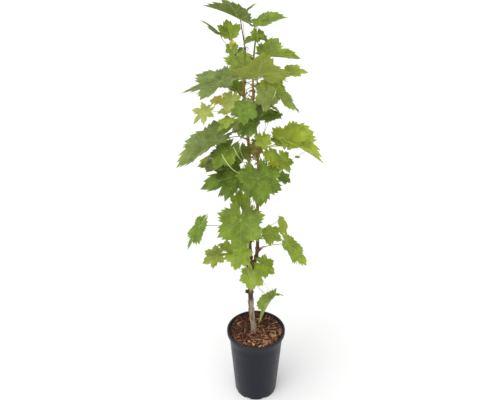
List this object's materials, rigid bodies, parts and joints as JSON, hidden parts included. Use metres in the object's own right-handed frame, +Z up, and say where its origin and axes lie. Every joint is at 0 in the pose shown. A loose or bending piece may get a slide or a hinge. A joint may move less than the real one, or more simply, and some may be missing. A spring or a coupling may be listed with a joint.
{
  "type": "potted grapevine",
  "caption": "Young grapevine with two climbing canes, toothed lobed leaves on long stalks and tendrils, in a tall round black nursery pot filled with bark-chip soil",
  "frame": {"origin": "centre of the pot's flat underside, on the surface that it stands on", "axes": "+Z up along the plant, +X to the right, -Y towards the side that the broadest leaves face"},
  "size_m": [0.3194, 0.2408, 1.0594],
  "materials": {
    "pot": "injection-moulded recycled plastic, satin, with faint vertical drag marks and dust",
    "soil": "loose composted bark chips, reddish brown with paler splinters",
    "bark": "grey-tan fibrous bark peeling in strips, darker at the knots",
    "cane": "smooth reddish-brown young cane with swollen joints",
    "leaf": "fresh green leaf with paler veins, satin upper side and matt paler underside"
  },
  "bodies": {
    "root": {"pot": "pot", "soil": "soil", "trunk": "bark", "left_cane": "cane", "right_cane": "cane", "left_spur": "bark", "right_spur": "bark", "spray_top_left": "leaf", "spray_upper_left": "leaf", "spray_shoot_tip": "leaf", "spray_upper_right": "leaf", "spray_high_left": "leaf", "spray_high_right": "leaf", "spray_pale_left": "leaf", "spray_centre_high": "leaf", "spray_right_hanging": "leaf", "spray_right_big": "leaf", "spray_right_mid": "leaf", "spray_left_big": "leaf", "spray_left_mid": "leaf", "spray_left_low": "leaf", "spray_front_centre": "leaf", "spray_front_low": "leaf", "spray_far_left": "leaf", "spray_right_low": "leaf", "spray_far_right": "leaf", "spray_bottom_left": "leaf", "spray_bottom_front": "leaf", "spray_lowest": "leaf", "spray_back_low": "leaf", "spray_back_middle": "leaf", "spray_back_upper": "leaf", "spray_back_high": "leaf", "spray_back_top": "leaf"}
  },
  "joints": []
}
